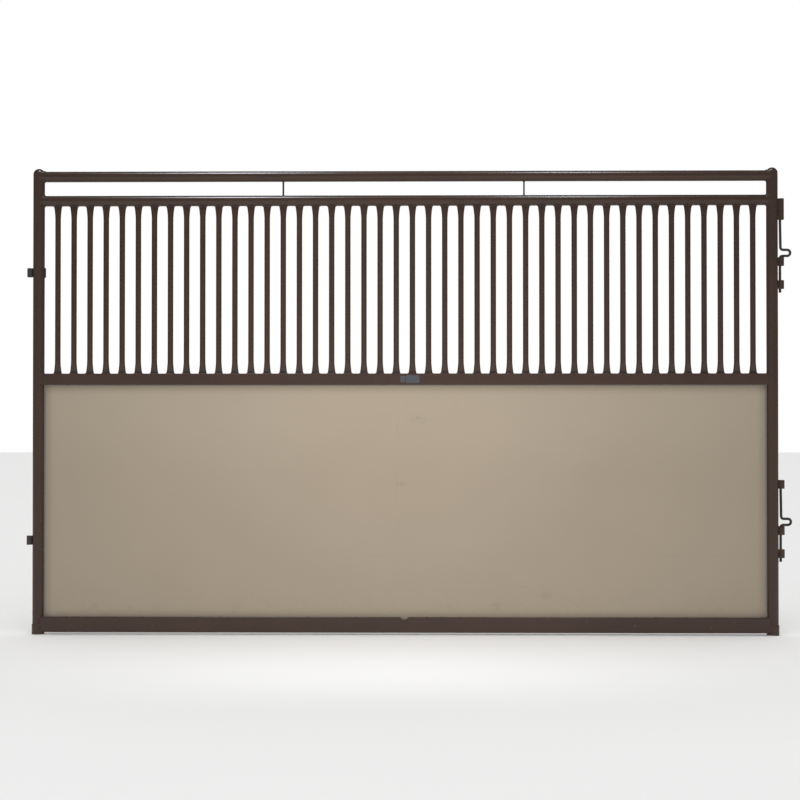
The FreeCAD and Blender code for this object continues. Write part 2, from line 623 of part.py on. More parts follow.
make_post("hinge_post", "-(%s)" % POST_X)
make_post("latch_post", POST_X)
make_cap("hinge_post_cap", "-(%s)" % POST_X)
make_cap("latch_post_cap", POST_X)
make_foot("hinge_post_foot", "-(%s)" % POST_X, 1)
make_foot("latch_post_foot", POST_X, -1)
make_round_rail("top_rail", TOP_RAIL_Z)
make_round_rail("grille_top_rail", GRILLE_RAIL_Z)
make_spacer("rail_spacer_hinge_side", "-Dims.hinge_spacer_offset")
make_spacer("rail_spacer_latch_side", "Dims.latch_spacer_offset")
make_folded_rail("mid_rail", MID_RAIL_BOTTOM, "Dims.mid_rail_height",
                 "(%s + 2 * Dims.fit_gap)" % CHANNEL_WIDTH, False)
make_bottom_rail()
make_grille_bars()
make_infill()
make_side_channel("hinge_edge_channel", -1)
make_side_channel("latch_edge_channel", 1)
make_top_channel()
make_latch("upper", UPPER_LATCH_Z, "Dims.upper_keeper_height")
make_latch("lower", LOWER_LATCH_Z, "Dims.sleeve_height")
make_hinge_eye("upper_hinge_eye", UPPER_LATCH_Z, "Dims.upper_strap_end")
make_hinge_eye("lower_hinge_eye", LOWER_LATCH_Z, "Dims.lower_strap_end")
make_plate("blank_label", "Dims.label_centre", "Dims.label_length", "Dims.label_height")
make_plate("blank_tag", "Dims.tag_centre", "Dims.tag_length", "Dims.tag_height")
doc.recompute()

failed = [o.Label for o in doc.Objects if "Invalid" in o.State or "Error" in o.State]
if failed:
    raise RuntimeError("failed objects: %s" % failed)
pieces = [o for o in doc.Objects if o.TypeId in ("PartDesign::Body", "Part::Feature")]
for piece in pieces:
    if piece.Shape.isNull() or not piece.Shape.isValid() or not piece.Shape.Solids:
        raise RuntimeError("bad shape: " + piece.Label)

os.makedirs("parts", exist_ok=True)
for piece in pieces:
    piece.Shape.exportStep("parts/%s.step" % piece.Label)
print(len(pieces), "pieces written")
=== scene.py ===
import math
import random

import bmesh
import bpy
from mathutils import Matrix, Vector, noise


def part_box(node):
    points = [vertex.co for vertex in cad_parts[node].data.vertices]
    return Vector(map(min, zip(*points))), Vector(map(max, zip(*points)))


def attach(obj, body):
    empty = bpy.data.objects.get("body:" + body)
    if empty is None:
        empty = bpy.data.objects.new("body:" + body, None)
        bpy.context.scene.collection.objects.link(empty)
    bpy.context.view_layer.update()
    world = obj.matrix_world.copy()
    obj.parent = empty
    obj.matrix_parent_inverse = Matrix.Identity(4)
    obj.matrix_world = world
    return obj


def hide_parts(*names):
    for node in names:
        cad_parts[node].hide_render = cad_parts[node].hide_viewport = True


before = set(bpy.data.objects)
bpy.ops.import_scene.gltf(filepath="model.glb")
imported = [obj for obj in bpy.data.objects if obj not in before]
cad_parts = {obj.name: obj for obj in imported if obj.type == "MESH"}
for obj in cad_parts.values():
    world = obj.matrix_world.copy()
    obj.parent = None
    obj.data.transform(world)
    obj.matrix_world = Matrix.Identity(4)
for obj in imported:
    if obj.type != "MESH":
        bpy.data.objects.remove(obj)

# Panel gate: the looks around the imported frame. Metres, +Z up, -Y is the front.
scene = bpy.context.scene
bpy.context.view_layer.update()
chance = random.Random(7)
print("frame:", len(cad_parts), "nodes")


# Shader helpers

class Wire:
    # a shader socket that works in plain sums
    def __init__(self, paint, socket):
        self.paint = paint
        self.socket = socket

    def math(self, operation, first, second):
        return self.paint.node("Math", {"operation": operation}, {0: first, 1: second})

    def __add__(self, other):
        return self.math("ADD", self, other)

    def __sub__(self, other):
        return self.math("SUBTRACT", self, other)

    def __rsub__(self, other):
        return self.math("SUBTRACT", other, self)

    def __mul__(self, other):
        return self.math("MULTIPLY", self, other)

    def __abs__(self):
        return self.math("ABSOLUTE", self, 0.0)

    __radd__ = __add__
    __rmul__ = __mul__


class Paint:
    # the nodes of one material, or of the sky
    def __init__(self, owner):
        owner.use_nodes = True
        self.owner = owner
        self.tree = owner.node_tree
        self.tree.nodes.clear()
        self.place = self.node("TexCoord", output="Object")

    def node(self, kind, settings=None, values=None, output=0):
        made = self.tree.nodes.new("ShaderNode" + kind)
        for name, setting in (settings or {}).items():
            setattr(made, name, setting)
        for name, value in (values or {}).items():
            if isinstance(value, Wire):
                self.tree.links.new(value.socket, made.inputs[name])
            else:
                made.inputs[name].default_value = value
        # an output node has no socket to go on from
        return Wire(self, made.outputs[output]) if made.outputs else None

    def axis(self, name):
        return self.node("SeparateXYZ", values={0: self.place}, output=name)

    def stretched(self, x, y, z):
        return self.node("Mapping", values={"Vector": self.place, "Scale": (x, y, z)})

    def noise(self, scale, detail=2.0, rough=0.5, place=None):
        return self.node("TexNoise", values={"Vector": place or self.place, "Scale": scale,
                                             "Detail": detail, "Roughness": rough})

    def fade(self, wire, low, high):
        # 0 at low, 1 at high, eased in between; low may be the greater
        return self.node("MapRange", {"interpolation_type": "SMOOTHSTEP"},
                         {"Value": wire, "From Min": low, "From Max": high})

    def mix(self, share, first, second):
        return self.node("Mix", {"data_type": "RGBA"}, {0: share, 6: first, 7: second}, 2)

    def facingUp(self, low, high):
        normal = self.node("NewGeometry", output="Normal")
        return self.fade(self.node("SeparateXYZ", values={0: normal}, output="Z"), low, high)

    def bump(self, height, depth):
        return self.node("Bump", values={"Height": height, "Distance": depth, "Strength": 1.0})

    def shade(self, **sockets):
        # Base_Color stands for the socket Base Color, and so on
        values = {name.replace("_", " "): value for name, value in sockets.items()}
        shader = self.node("BsdfPrincipled", values=values)
        self.node("OutputMaterial", values={"Surface": shader})
        return self.owner


def newPaint(name):
    return Paint(bpy.data.materials.new(name))


# Finishes

powder = {
    # two shades that run into each other, for the tubes and for the eyes
    "brown": ((0.0444, 0.0272, 0.0210, 1), (0.0530, 0.0318, 0.0238, 1)),
    "grey": ((0.039, 0.0350, 0.0350, 1), (0.046, 0.0405, 0.0390, 1)),
    "dust": (0.17, 0.145, 0.12, 1), "dustShare": 0.35, "dustScale": 14.0,
    "roughness": 0.22, "gloss": 0.28,
    "patchScale": 2.3, "mottleScale": 38.0,
    "finePeel": 650.0, "broadPeel": 160.0, "peelDepth": 0.000022,
}


def powderCoat(name, shades):
    paint = newPaint(name)
    patches = paint.fade(paint.noise(powder["patchScale"], 3.0), 0.35, 0.65)
    mottle = paint.noise(powder["mottleScale"], 3.0, 0.6)
    # dust lies on what faces up
    settled = paint.fade(paint.noise(powder["dustScale"], 5.0, 0.65), 0.35, 0.75)
    dust = paint.facingUp(0.45, 1.0) * settled * powder["dustShare"]
    colour = paint.mix(patches * 0.7 + mottle * 0.3, *shades)
    colour = paint.mix(dust, colour, powder["dust"])
    peel = paint.noise(powder["finePeel"], 2.0) + paint.noise(powder["broadPeel"], 2.0) * 0.8
    return paint.shade(Base_Color=colour, Roughness=powder["roughness"] + mottle * 0.08 + dust * 0.5,
                       Specular_IOR_Level=powder["gloss"], Normal=paint.bump(peel, powder["peelDepth"]))


panel = {
    "tan": (0.284, 0.233, 0.171, 1), "pale": (0.300, 0.247, 0.183, 1),
    # the sheet turns paler towards its top
    "paleUpper": (0.335, 0.280, 0.211, 1), "paleUpperFrom": 0.72, "paleUpperTo": 1.16, "paleUpperShare": 0.5,
    # this dark brown colours both the splashed dirt low down and the painted shade along the sheet's
    # edges
    "dirtAndShade": (0.16, 0.130, 0.096, 1), "edgeShadeShare": 0.45, "splashShare": 0.22,
    "scratch": (0.178, 0.147, 0.110, 1),
    "roughness": 0.42, "grainScale": 420.0, "grainDepth": 0.00006,
    # where the sheet's seen edges lie, and how far in from them the painted shade goes
    "edgeX": 1.757, "edgeLow": 0.086, "edgeHigh": 1.214, "edgeShadeDepth": 0.045,
    "rubShare": 0.22,
    # one upright scratch that leans over near its top, and one level scratch
    "streakX": -0.034, "streakLow": 0.32, "streakHigh": 1.19, "streakBend": 0.075, "streakShare": 0.20,
    "lineZ": 0.383, "lineFrom": -1.05, "lineShare": 0.12,
    # arcs left by a wiping hand: x, z and radius
    "wipes": ((0.16, 1.06, 0.12), (-0.10, 0.98, 0.10)), "wipeShare": 0.08,
    # smudges: x, z, half height and strength
    "blots": ((-0.017, 0.733, 0.016, 0.85), (0.684, 0.192, 0.030, 0.30),
              (0.449, 0.144, 0.024, 0.30), (0.07, 1.05, 0.045, 0.30)),
    "blotFlat": 0.45,  # their height over their width
    "faceY": -0.006, "frontDepth": 0.003,  # the front face, and how near it the scratches stay
    # half widths over which the marks fade out, and of their full strength
    "streakEdge": 0.0035, "lineEdge": 0.004, "wipeEdge": 0.006, "core": 0.001,
}


def sheetMarks(paint, x, z):
    # how far each spot is scratched, rubbed or smudged
    front = paint.fade(paint.axis("Y"), panel["frontDepth"], -panel["frontDepth"])
    # rub marks: long faint strokes that lie mostly level
    rubs = paint.noise(1.0, 4.0, 0.7, paint.stretched(2.5, 1.0, 55.0))
    rubbed = paint.fade(rubs, 0.63, 0.74) * paint.fade(paint.noise(3.0, 2.0), 0.45, 0.7)
    wobble = (paint.noise(2.2, 2.0) - 0.5) * 0.03
    low, high = panel["streakLow"], panel["streakHigh"]
    bend = paint.fade(z, 1.02, high + 0.02) * panel["streakBend"]
    streak = (paint.fade(abs(x - panel["streakX"] - wobble - bend), panel["streakEdge"], panel["core"])
              * paint.fade(z, low, low + 0.25)
              * paint.fade(z, high + 0.05, high - 0.1))
    line = (paint.fade(abs(z - panel["lineZ"] - wobble * 0.1), panel["lineEdge"], panel["core"])
            * paint.fade(x, panel["lineFrom"], panel["lineFrom"] + 0.5))
    broken = paint.fade(paint.noise(11.0, 3.0), 0.38, 0.62)
    scratches = streak * panel["streakShare"] + line * panel["lineShare"]
    marks = rubbed * panel["rubShare"] + scratches * broken * front
    for wipeX, wipeZ, radius in panel["wipes"]:
        away = paint.node("VectorMath", {"operation": "DISTANCE"},
                          {0: paint.place, 1: (wipeX, panel["faceY"], wipeZ)}, "Value")
        arc = paint.fade(abs(away - radius + wobble), panel["wipeEdge"], panel["core"])
        arc = arc * paint.fade(z, wipeZ + 0.02, wipeZ + 0.06)
        marks = marks + arc * paint.fade(paint.noise(9.0, 3.0), 0.4, 0.6) * panel["wipeShare"]
    for blotX, blotZ, size, strength in panel["blots"]:
        away = abs(x - blotX) * panel["blotFlat"] + abs(z - blotZ)
        blot = paint.fade(away, size, size * 0.2) * paint.fade(paint.noise(90.0, 4.0, 0.7), 0.42, 0.6)
        marks = marks + blot * front * strength
    return marks


def sheetFinish():
    paint = newPaint("tan sheet")
    x, z = paint.axis("X"), paint.axis("Z")
    broad = paint.fade(paint.noise(1.4, 3.0), 0.3, 0.7)
    grain = paint.noise(panel["grainScale"], 3.0, 0.6)
    colour = paint.mix(broad * 0.8 + grain * 0.2, panel["tan"], panel["pale"])
    # paler towards the top
    upperShare = paint.fade(z, panel["paleUpperFrom"], panel["paleUpperTo"]) * panel["paleUpperShare"]
    colour = paint.mix(upperShare, colour, panel["paleUpper"])
    marks = sheetMarks(paint, x, z)
    colour = paint.mix(marks, colour, panel["scratch"])
    # painted shade along the edges, where the frame's rails and posts shade the recessed sheet
    depth = panel["edgeShadeDepth"]
    edges = (paint.fade(abs(x), panel["edgeX"] - depth, panel["edgeX"])
             + paint.fade(z, panel["edgeLow"] + depth, panel["edgeLow"])
             + paint.fade(z, panel["edgeHigh"] - depth, panel["edgeHigh"]))
    colour = paint.mix(edges * panel["edgeShadeShare"], colour, panel["dirtAndShade"])
    # splashed dirt low down
    splash = paint.fade(z, 0.30, 0.06) * paint.fade(paint.noise(26.0, 6.0, 0.7), 0.5, 0.72)
    colour = paint.mix(splash * panel["splashShare"], colour, panel["dirtAndShade"])
    return paint.shade(Base_Color=colour, Roughness=panel["roughness"] + grain * 0.1 + marks * 0.3,
                       Normal=paint.bump(grain + marks * 0.6, panel["grainDepth"]))


zinc = {
    # top is the side edges' zinc painted lighter, painted light that offsets the shadow the mid rail
    # casts over the top edge
    "side": (0.207, 0.189, 0.178, 1), "top": (0.272, 0.236, 0.212, 1), "shade": 0.72,
    "metallic": 0.4, "roughness": 0.38, "flakeScale": 130.0, "grainDepth": 0.00004,
}


def galvanised(name, light):
    paint = newPaint(name)
    flakes = paint.node("TexVoronoi", values={"Vector": paint.place, "Scale": zinc["flakeScale"]},
                        output="Color")
    spangle = paint.node("SeparateXYZ", values={0: flakes}, output="X")
    brushed = paint.noise(60.0, 3.0, 0.6, paint.stretched(12.0, 12.0, 0.6))
    dull = tuple(part * zinc["shade"] for part in light[:3]) + (1,)
    colour = paint.mix(spangle * 0.6 + brushed * 0.4, dull, light)
    return paint.shade(Base_Color=colour, Metallic=zinc["metallic"],
                       Roughness=zinc["roughness"] + spangle * 0.18,
                       Normal=paint.bump(brushed, zinc["grainDepth"]))


steel = {
    "dark": (0.042, 0.037, 0.035, 1), "worn": (0.20, 0.19, 0.18, 1), "wear": 0.35,
    "metallic": 0.35, "roughness": 0.46, "pitDepth": 0.00005,
}


def pinFinish():
    paint = newPaint("dark pin")
    scrapes = paint.fade(paint.noise(30.0, 4.0, 0.7, paint.stretched(14.0, 14.0, 1.0)), 0.55, 0.72)
    blotch = paint.noise(55.0, 3.0)
    colour = paint.mix(scrapes * steel["wear"], steel["dark"], steel["worn"])
    return paint.shade(Base_Color=colour, Metallic=steel["metallic"] + scrapes * 0.4,
                       Roughness=steel["roughness"] + blotch * 0.15,
                       Normal=paint.bump(blotch + scrapes * 0.5, steel["pitDepth"]))


plate = {
    "face": (0.115, 0.122, 0.138, 1), "shade": (0.085, 0.090, 0.100, 1),
    "metallic": 0.5, "roughness": 0.35, "grainDepth": 0.00002,
}


def plateFinish():
    paint = newPaint("blank plate")
    brushed = paint.noise(40.0, 3.0, 0.6, paint.stretched(1.0, 1.0, 30.0))
    colour = paint.mix(brushed, plate["shade"], plate["face"])
    return paint.shade(Base_Color=colour, Metallic=plate["metallic"],
                       Roughness=plate["roughness"] + brushed * 0.15,
                       Normal=paint.bump(brushed, plate["grainDepth"]))


brownCoat = powderCoat("brown powder coat", powder["brown"])
lugCoat = powderCoat("grey powder coat", powder["grey"])
sheetPaint = sheetFinish()
zincPaint = galvanised("galvanised side edge", zinc["side"])
# the top edge's zinc is painted lighter than the sides' to offset the mid rail's shadow
litTopZincPaint = galvanised("galvanised top edge painted lighter", zinc["top"])
pinPaint = pinFinish()
platePaint = plateFinish()
print("finishes:", len(bpy.data.materials))


# Mesh helpers

def newPiece(name, mesh, material, body, nodes, sharp=32):
    # the mesh becomes an object at the origin that rides on its body
    # edges that turn by more than sharp degrees stay crisp
    bmesh.ops.recalc_face_normals(mesh, faces=mesh.faces[:])
    data = bpy.data.meshes.new(name)
    mesh.to_mesh(data)
    mesh.free()
    data.shade_smooth()
    data.set_sharp_from_angle(angle=math.radians(sharp))
    data.materials.append(material)
    piece = bpy.data.objects.new(name, data)
    scene.collection.objects.link(piece)
    # large flat faces keep their own direction beside small rounded ones
    weighted = piece.modifiers.new("weighted normals", "WEIGHTED_NORMAL")
    weighted.mode = "FACE_AREA_WITH_ANGLE"
    weighted.weight = 100
    weighted.keep_sharp = True
    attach(piece, body)
    if nodes:
        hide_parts(*nodes)


def sizes(node):
    # lowest corner, highest corner and middle
    low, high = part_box(node)
    return low, high, (low + high) / 2


def loop(mesh, points):
    # a closed outline of edges
    verts = [mesh.verts.new(point) for point in points]
    for one, two in zip(verts, verts[1:] + verts[:1]):
        mesh.edges.new((one, two))
    return verts


def roundCorners(mesh, verts, radius, segments):
    bmesh.ops.bevel(mesh, geom=verts, offset=radius, segments=segments, profile=0.5,
                    affect="VERTICES", material=-1)


def pushFace(mesh, face, shift):
    # the face leaves walls behind it as it goes
    made = bmesh.ops.extrude_face_region(mesh, geom=[face])["geom"]
    verts = [item for item in made if isinstance(item, bmesh.types.BMVert)]
    bmesh.ops.translate(mesh, verts=verts, vec=shift)
    return next(item for item in made if isinstance(item, bmesh.types.BMFace))


def bendFace(mesh, face, centre, axis, angle, steps):
    # the same, round a bend
    made = bmesh.ops.spin(mesh, geom=[face], cent=centre, axis=axis, angle=angle, steps=steps)
    return next(item for item in made["geom_last"] if isinstance(item, bmesh.types.BMFace))


def spunTube(mesh, radius, wall, low, high, rounding, steps):
    # a wall section with eased rims, spun about Z
    corners = loop(mesh, [(radius, 0, low), (radius, 0, high),
                          (radius - wall, 0, high), (radius - wall, 0, low)])
    roundCorners(mesh, corners, rounding, 2)
    bmesh.ops.spin(mesh, geom=mesh.verts[:] + mesh.edges[:], cent=(0, 0, 0), axis=(0, 0, 1),
                   angle=2 * math.pi, steps=steps, use_merge=True)


# Posts with their caps

rootGap = 0.0002  # left between two tubes, under their weld
post = {"wall": 0.0026, "rim": 0.0006, "steps": 96}
cap = {"segments": 64, "rings": 32}


def makePost(name, node):
    low, high, middle = sizes(node)
    mesh = bmesh.new()
    spunTube(mesh, (high.x - low.x) / 2, post["wall"], low.z, high.z, post["rim"], post["steps"])
    bmesh.ops.translate(mesh, verts=mesh.verts[:], vec=(middle.x, middle.y, 0))
    newPiece(name, mesh, brownCoat, "frame", [node])


def makeCap(name, node, tubeTop):
    # a dome cut from a ball, closed underneath
    low, high, middle = sizes(node)
    radius = (high.x - low.x) / 2
    rise = high.z - tubeTop
    ball = (radius ** 2 + rise ** 2) / (2 * rise)
    mesh = bmesh.new()
    bmesh.ops.create_uvsphere(mesh, u_segments=cap["segments"], v_segments=cap["rings"], radius=ball)
    bmesh.ops.bisect_plane(mesh, geom=mesh.verts[:] + mesh.edges[:] + mesh.faces[:], dist=1e-6,
                           plane_co=(0, 0, ball - rise), plane_no=(0, 0, 1), clear_inner=True)
    rim = [edge for edge in mesh.edges if edge.is_boundary]
    bmesh.ops.holes_fill(mesh, edges=rim, sides=0)
    bmesh.ops.translate(mesh, verts=mesh.verts[:], vec=(middle.x, middle.y, tubeTop + rise - ball))
    newPiece(name, mesh, brownCoat, "frame", [node])


for side in ("hinge", "latch"):
    makePost(side + "Post", side + "_post")
    makeCap(side + "PostCap", side + "_post_cap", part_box(side + "_post")[1].z + rootGap)
postLow, postHigh, postMiddle = sizes("latch_post")
postX, postRadius = postMiddle.x, (postHigh.x - postLow.x) / 2
print("posts at", round(postX, 4))


# Round rails, their ends cut to the posts

rail = {"wall": 0.002, "steps": 72, "furthest": 0.97}  # how far out on the post a cut follows it


def saddleX(y):
    # how far from the gate's middle the post's surface lies at depth y
    reach = postRadius + rootGap
    return postX - math.sqrt(reach ** 2 - min(abs(y), reach * rail["furthest"]) ** 2)


def makeRail(name, node):
    low, high, middle = sizes(node)
    mesh = bmesh.new()
    radius = (high.z - low.z) / 2
    corners = loop(mesh, [(-1, 0, radius), (1, 0, radius),
                          (1, 0, radius - rail["wall"]), (-1, 0, radius - rail["wall"])])
    bmesh.ops.spin(mesh, geom=mesh.verts[:] + mesh.edges[:], cent=(0, 0, 0), axis=(1, 0, 0),
                   angle=2 * math.pi, steps=rail["steps"], use_merge=True)
    for vert in mesh.verts:
        vert.co.x = math.copysign(saddleX(vert.co.y), vert.co.x)
    bmesh.ops.translate(mesh, verts=mesh.verts[:], vec=(0, 0, middle.z))
    newPiece(name, mesh, brownCoat, "frame", [node])


makeRail("topRail", "top_rail")
makeRail("grilleTopRail", "grille_top_rail")
print("round rails made")


# Grille bars, squeezed flat at both ends

# the crimp is the length over which a bar goes from flat to round, and fall is how fast it does
bar = {"diameter": 0.027, "flat": 0.0042, "crimp": 0.066, "fall": 1.9, "segments": 20, "rings": 9}
girth = math.pi * bar["diameter"]
flatWidth = (girth - math.pi * bar["flat"]) / 2 + bar["flat"]


def squeeze(unit, share):
    # share is 1 at the flat end and 0 where the tube is round; the girth stays the same
    width = bar["diameter"] + (flatWidth - bar["diameter"]) * share
    thick = (girth - 2 * width) / (math.pi - 2)
    side = width / 2 - thick / 2
    return unit.x * thick / 2 + math.copysign(side, unit.x), unit.y * thick / 2


def makeBar(name, nodes, x, low, high):
    mesh = bmesh.new()
    halfStep = math.pi / bar["segments"]
    bmesh.ops.create_circle(mesh, cap_ends=True, segments=bar["segments"], radius=1)
    bmesh.ops.rotate(mesh, verts=mesh.verts[:], cent=(0, 0, 0), matrix=Matrix.Rotation(halfStep, 3, "Z"))
    steps = [index / bar["rings"] * bar["crimp"] for index in range(bar["rings"] + 1)]
    heights = [low + step for step in steps] + [high - step for step in reversed(steps)]
    face = mesh.faces[:][0]
    rings = [(face.verts[:], heights[0])]
    for height in heights[1:]:
        face = pushFace(mesh, face, (0, 0, 0))
        rings.append((face.verts[:], height))
    for verts, height in rings:
        reach = min(height - low, high - height)
        share = max(0.0, 1 - reach / bar["crimp"]) ** bar["fall"]
        for vert in verts:
            across, deep = squeeze(vert.co, share)
            vert.co = (x + across, deep, height)
    newPiece(name, mesh, brownCoat, "frame", nodes)


barNodes = sorted(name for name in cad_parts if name.startswith("grille_bars"))
barPlaces = []
for node in barNodes:
    # each node holds two bars, and its name ends with their numbers
    low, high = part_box(node)
    numbers = [int(part) for part in node.split("_")[2:]]
    for number, x in zip(numbers, (low.x + flatWidth / 2, high.x - flatWidth / 2)):
        barPlaces.append(x)
        makeBar("grilleBar_%02d" % number, [node], x, low.z, high.z)
barBottom, barTop = (corner.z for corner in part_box(barNodes[0]))
print("bars:", len(barPlaces))


# Solid sheet between the folded rails

sheet = {"easing": 0.0008}


def makeSheet():
    low, high, middle = sizes("infill_sheet")
    mesh = bmesh.new()
    bmesh.ops.create_cube(mesh, size=1)
    bmesh.ops.scale(mesh, verts=mesh.verts[:], vec=high - low)
    bmesh.ops.translate(mesh, verts=mesh.verts[:], vec=middle)
    bmesh.ops.bevel(mesh, geom=mesh.edges[:], offset=sheet["easing"], segments=2, profile=0.5,
                    affect="EDGES", material=-1)
    newPiece("infillSheet", mesh, sheetPaint, "frame", ["infill_sheet"])


makeSheet()
print("sheet made")


# Latch sleeves and the bent pins that hang in them

sleeve = {"wall": 0.003, "rounding": 0.0013, "steps": 64}
pin = {
    "segments": 28, "bend": 0.0127, "bendSteps": 10, "tip": 0.002,
    # the pull's two arms stand pitch apart; the upper shank starts lean further out and slopes back
    "pitch": 0.0296, "pullSteps": 18, "lean": 0.0025,
    "seat": 0.0003,  # daylight under the lower arm
}


def makeSleeve(name, node):
    low, high, middle = sizes(node)
    mesh = bmesh.new()
    spunTube(mesh, (high.x - low.x) / 2, sleeve["wall"], low.z, high.z,
             sleeve["rounding"], sleeve["steps"])
    bmesh.ops.translate(mesh, verts=mesh.verts[:], vec=(middle.x, middle.y, 0))
    newPiece(name, mesh, brownCoat, "frame", [node])


def makePin(name, node, topSleeve, body):
    low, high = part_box(node)
    radius = (high.y - low.y) / 2
    axisX = low.x + radius
    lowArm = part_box(topSleeve)[1].z + radius + pin["seat"]
    highArm = lowArm + pin["pitch"]
    turnX = high.x - radius - pin["pitch"] / 2
    slope = math.atan2(pin["lean"], high.z - highArm - pin["bend"])
    mesh = bmesh.new()
    bmesh.ops.create_circle(mesh, cap_ends=True, segments=pin["segments"], radius=radius - pin["tip"])
    face = mesh.faces[:][0]
    bmesh.ops.translate(mesh, verts=mesh.verts[:], vec=(axisX, 0, low.z))
    # the eased tip
    face = pushFace(mesh, face, (0, 0, pin["tip"]))
    grow = radius / (radius - pin["tip"])
    for vert in face.verts:
        vert.co.x, vert.co.y = axisX + (vert.co.x - axisX) * grow, vert.co.y * grow
    turn = math.pi / 2
    # up, out along the lower arm, round the pull, back along the upper arm and up the shank
    face = pushFace(mesh, face, (0, 0, lowArm - pin["bend"] - low.z - pin["tip"]))
    face = bendFace(mesh, face, (axisX + pin["bend"], 0, lowArm - pin["bend"]), (0, 1, 0), turn,
                    pin["bendSteps"])
    face = pushFace(mesh, face, (turnX - axisX - pin["bend"], 0, 0))
    face = bendFace(mesh, face, (turnX, 0, (lowArm + highArm) / 2), (0, -1, 0), 2 * turn,
                    pin["pullSteps"])
    face = pushFace(mesh, face, (axisX + pin["lean"] + pin["bend"] - turnX, 0, 0))
    centre = Vector((axisX + pin["lean"] + pin["bend"], 0, highArm + pin["bend"]))
    face = bendFace(mesh, face, centre, (0, 1, 0), turn + slope, pin["bendSteps"])
    shank = high.z - radius * math.sin(slope) - centre.z - pin["bend"] * math.sin(slope)
    pushFace(mesh, face, (-shank * math.tan(slope), 0, shank))
    newPiece(name, mesh, pinPaint, body, [node])


for level in ("upper", "lower"):
    for kind in ("keeper", "top", "bottom"):
        makeSleeve("%s%sSleeve" % (level, kind.title()), "%s_%s_sleeve" % (level, kind))
    makePin(level + "DropPin", level + "_drop_pin", level + "_top_sleeve", level + "_pin")
print("latches made")


# Hinge eyes: a strap wrapped round the back of the post and curled

eye = {
    "thickness": 0.006, "bore": 0.017, "edge": 0.0008,
    "starts": {"upper": -12, "lower": 24},  # degrees from the inner side of the post, backwards
    "opening": 50,  # degrees left open in the curl
    "wrapSteps": 40, "curlSteps": 48,
}


def makeEye(level):
    low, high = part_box(level + "_hinge_eye")
    inner = postRadius + rootGap
    outer = inner + eye["thickness"]
    curl = eye["bore"] / 2 + eye["thickness"]
    start = math.radians(eye["starts"][level])
    mesh = bmesh.new()
    corners = [(inner, 0, low.z), (outer, 0, low.z), (outer, 0, high.z), (inner, 0, high.z)]
    verts = [mesh.verts.new(corner) for corner in corners]
    mesh.faces.new(verts)
    roundCorners(mesh, verts, eye["edge"], 2)
    face = mesh.faces[:][0]
    bmesh.ops.rotate(mesh, verts=mesh.verts[:], cent=(0, 0, 0), matrix=Matrix.Rotation(start, 3, "Z"))
    face = bendFace(mesh, face, (0, 0, 0), (0, 0, 1), math.pi - start, eye["wrapSteps"])
    bendFace(mesh, face, (-inner - curl, 0, 0), (0, 0, -1), math.radians(360 - eye["opening"]),
             eye["curlSteps"])
    bmesh.ops.translate(mesh, verts=mesh.verts[:], vec=(-postX, 0, 0))
    newPiece(level + "HingeEye", mesh, lugCoat, "frame", [level + "_hinge_eye"])


makeEye("upper")
makeEye("lower")
print("eyes made")


# Blank plates on the mid rail

label = {"corner": 0.005, "segments": 5}


def makePlate(name, node):
    low, high, middle = sizes(node)
    mesh = bmesh.new()
    bmesh.ops.create_cube(mesh, size=1)
    bmesh.ops.scale(mesh, verts=mesh.verts[:], vec=high - low)
    bmesh.ops.translate(mesh, verts=mesh.verts[:], vec=middle)
    upright = [edge for edge in mesh.edges
               if abs(edge.verts[0].co.y - edge.verts[1].co.y) > (high.y - low.y) / 2]
    bmesh.ops.bevel(mesh, geom=upright, offset=label["corner"], segments=label["segments"],
                    profile=0.5, affect="EDGES", material=-1)
    newPiece(name, mesh, platePaint, "frame", [node])


makePlate("blankLabel", "blank_label")
makePlate("blankTag", "blank_tag")


# Weld beads: each is drawn straight or as a ring, and then laid where it belongs

bead = {
    "puddle": 0.0042, "ripple": 0.28, "crest": 0.6,  # a puddle's length, its swell and how round it is
    "tip": 0.35, "tipLength": 1.5,  # how full an open bead's ends are, and how soon it reaches its size
    "uneven": 0.0004, "wander": 260,  # how far the surface strays, and how often
    "sides": 7, "ringsPerPuddle": 3, "sharp": 60,
}


def swell(along, puddle):
    # a bead's size where its puddles froze one on another
    wave = abs(math.sin(math.pi * along / puddle))
    return 1 + bead["ripple"] * (wave ** bead["crest"] - bead["crest"])


def layBead(verts, place):
    for vert in verts:
        vert.co = Vector(place(vert.co))
        vert.co += noise.noise_vector(vert.co * bead["wander"]) * bead["uneven"]


def ringBead(mesh, radius, size, place):
    # a closed bead about X
    before = len(mesh.verts)
    verts = bmesh.ops.create_circle(mesh, segments=bead["sides"], radius=size)["verts"]
    bmesh.ops.translate(mesh, verts=verts, vec=(0, radius, 0))
    edges = list({edge for vert in verts for edge in vert.link_edges})
    bmesh.ops.spin(mesh, geom=verts + edges, cent=(0, 0, 0), axis=(1, 0, 0), angle=2 * math.pi,
                   steps=round(2 * math.pi * radius / bead["puddle"] * bead["ringsPerPuddle"]),
                   use_merge=True)
    mesh.verts.ensure_lookup_table()
    fresh = mesh.verts[before:]
    for vert in fresh:
        turn = math.atan2(vert.co.z, vert.co.y)
        core = Vector((0, radius * math.cos(turn), radius * math.sin(turn)))
        vert.co = core + (vert.co - core) * swell(turn * radius, bead["puddle"])
    layBead(fresh, place)


